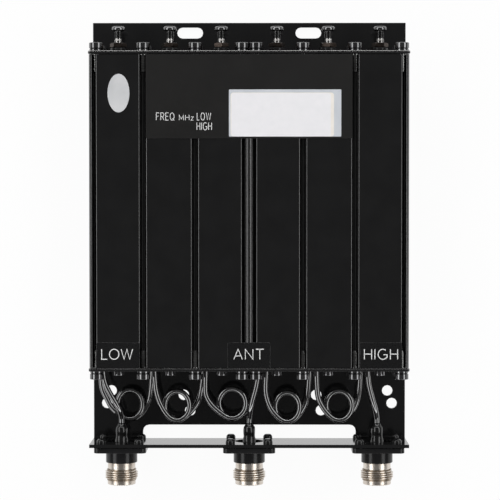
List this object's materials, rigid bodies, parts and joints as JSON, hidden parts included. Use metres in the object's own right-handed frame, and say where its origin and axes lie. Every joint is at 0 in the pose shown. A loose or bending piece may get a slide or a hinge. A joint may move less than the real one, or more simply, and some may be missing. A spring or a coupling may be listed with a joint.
{
  "type": "cavity duplexer",
  "caption": "Flat radio cavity duplexer: black cavity blocks on a bent back plate, tuning screws on top, looped coaxial jumpers and threaded coaxial jacks below.",
  "frame": {"origin": "under the middle of the whole object's box, on the back plate's rear face, which the object lies on", "axes": "+X to the right seen from the front, +Y from the jacks towards the tuning screws, +Z out of the front faces of the cavity blocks"},
  "size_m": [0.1554, 0.2274, 0.028],
  "materials": {
    "black_anodised": "satin black anodised aluminium, with black oxide screws",
    "black_screw": "black oxide on steel",
    "dark_nut": "dark bronze",
    "brass": "turned brass",
    "silver_plate": "silver plated brass",
    "copper": "bare copper wire",
    "nickel": "nickel plated brass, with a blackened barrel and flange",
    "white_insulator": "white fluoropolymer",
    "sleeve": "black heat shrink sleeve",
    "cable_jacket": "glossy black cable jacket"
  },
  "bodies": {
    "chassis": {"back_plate": "black_anodised", "cavity_block_low": "black_anodised", "cavity_block_high": "black_anodised", "top_end_plate": "black_anodised", "bottom_end_plate": "black_anodised", "lock_nut_1": "dark_nut", "resonator_1": "silver_plate", "coupling_loop_1": "copper", "lock_nut_2": "dark_nut", "resonator_2": "silver_plate", "coupling_loop_2": "copper", "lock_nut_3": "dark_nut", "resonator_3": "silver_plate", "coupling_loop_3": "copper", "lock_nut_4": "dark_nut", "resonator_4": "silver_plate", "coupling_loop_4": "copper", "lock_nut_5": "dark_nut", "resonator_5": "silver_plate", "coupling_loop_5": "copper", "lock_nut_6": "dark_nut", "resonator_6": "silver_plate", "coupling_loop_6": "copper", "jack_low": "nickel", "jack_insulator_low": "white_insulator", "jack_contact_low": "silver_plate", "boot_low": "sleeve", "jack_antenna": "nickel", "jack_insulator_antenna": "white_insulator", "jack_contact_antenna": "silver_plate", "boot_antenna": "sleeve", "jack_high": "nickel", "jack_insulator_high": "white_insulator", "jack_contact_high": "silver_plate", "boot_high": "sleeve", "low_lead": "cable_jacket", "jumper_1_2": "cable_jacket", "jumper_2_3": "cable_jacket", "jumper_3_antenna": "cable_jacket", "antenna_lead": "cable_jacket", "jumper_4_5": "cable_jacket", "jumper_5_6": "cable_jacket", "high_lead": "cable_jacket", "fixing_screw_1": "black_screw", "fixing_screw_2": "black_screw", "fixing_screw_3": "black_screw", "fixing_screw_4": "black_screw"},
    "plunger_1": {"tuning_plunger_1": "brass"},
    "screw_1": {"tuning_screw_1": "black_screw"},
    "plunger_2": {"tuning_plunger_2": "brass"},
    "screw_2": {"tuning_screw_2": "black_screw"},
    "plunger_3": {"tuning_plunger_3": "brass"},
    "screw_3": {"tuning_screw_3": "black_screw"},
    "plunger_4": {"tuning_plunger_4": "brass"},
    "screw_4": {"tuning_screw_4": "black_screw"},
    "plunger_5": {"tuning_plunger_5": "brass"},
    "screw_5": {"tuning_screw_5": "black_screw"},
    "plunger_6": {"tuning_plunger_6": "brass"},
    "screw_6": {"tuning_screw_6": "black_screw"}
  },
  "joints": [
    {"name": "tuner_1_travel", "type": "slide", "parent": "chassis", "child": "plunger_1", "axis": [0, 1, 0], "range_m": [-0.0056, 0.0035]},
    {"name": "tuner_1_turn", "type": "hinge", "parent": "plunger_1", "child": "screw_1", "pos_m": [-0.06395, 0.098, 0.0144], "axis": [0, 1, 0], "range_deg": [-2880, 1800]},
    {"name": "tuner_2_travel", "type": "slide", "parent": "chassis", "child": "plunger_2", "axis": [0, 1, 0], "range_m": [-0.0056, 0.0035]},
    {"name": "tuner_2_turn", "type": "hinge", "parent": "plunger_2", "child": "screw_2", "pos_m": [-0.03875, 0.098, 0.0144], "axis": [0, 1, 0], "range_deg": [-2880, 1800]},
    {"name": "tuner_3_travel", "type": "slide", "parent": "chassis", "child": "plunger_3", "axis": [0, 1, 0], "range_m": [-0.0056, 0.0035]},
    {"name": "tuner_3_turn", "type": "hinge", "parent": "plunger_3", "child": "screw_3", "pos_m": [-0.01355, 0.098, 0.0144], "axis": [0, 1, 0], "range_deg": [-2880, 1800]},
    {"name": "tuner_4_travel", "type": "slide", "parent": "chassis", "child": "plunger_4", "axis": [0, 1, 0], "range_m": [-0.0056, 0.0035]},
    {"name": "tuner_4_turn", "type": "hinge", "parent": "plunger_4", "child": "screw_4", "pos_m": [0.01355, 0.098, 0.0144], "axis": [0, 1, 0], "range_deg": [-2880, 1800]},
    {"name": "tuner_5_travel", "type": "slide", "parent": "chassis", "child": "plunger_5", "axis": [0, 1, 0], "range_m": [-0.0056, 0.0035]},
    {"name": "tuner_5_turn", "type": "hinge", "parent": "plunger_5", "child": "screw_5", "pos_m": [0.03875, 0.098, 0.0144], "axis": [0, 1, 0], "range_deg": [-2880, 1800]},
    {"name": "tuner_6_travel", "type": "slide", "parent": "chassis", "child": "plunger_6", "axis": [0, 1, 0], "range_m": [-0.0056, 0.0035]},
    {"name": "tuner_6_turn", "type": "hinge", "parent": "plunger_6", "child": "screw_6", "pos_m": [0.06395, 0.098, 0.0144], "axis": [0, 1, 0], "range_deg": [-2880, 1800]}
  ],
  "couplings": [
    {"joint": "tuner_1_turn", "follows": "tuner_1_travel", "rad_per_m": 8976},
    {"joint": "tuner_2_turn", "follows": "tuner_2_travel", "rad_per_m": 8976},
    {"joint": "tuner_3_turn", "follows": "tuner_3_travel", "rad_per_m": 8976},
    {"joint": "tuner_4_turn", "follows": "tuner_4_travel", "rad_per_m": 8976},
    {"joint": "tuner_5_turn", "follows": "tuner_5_travel", "rad_per_m": 8976},
    {"joint": "tuner_6_turn", "follows": "tuner_6_travel", "rad_per_m": 8976}
  ]
}
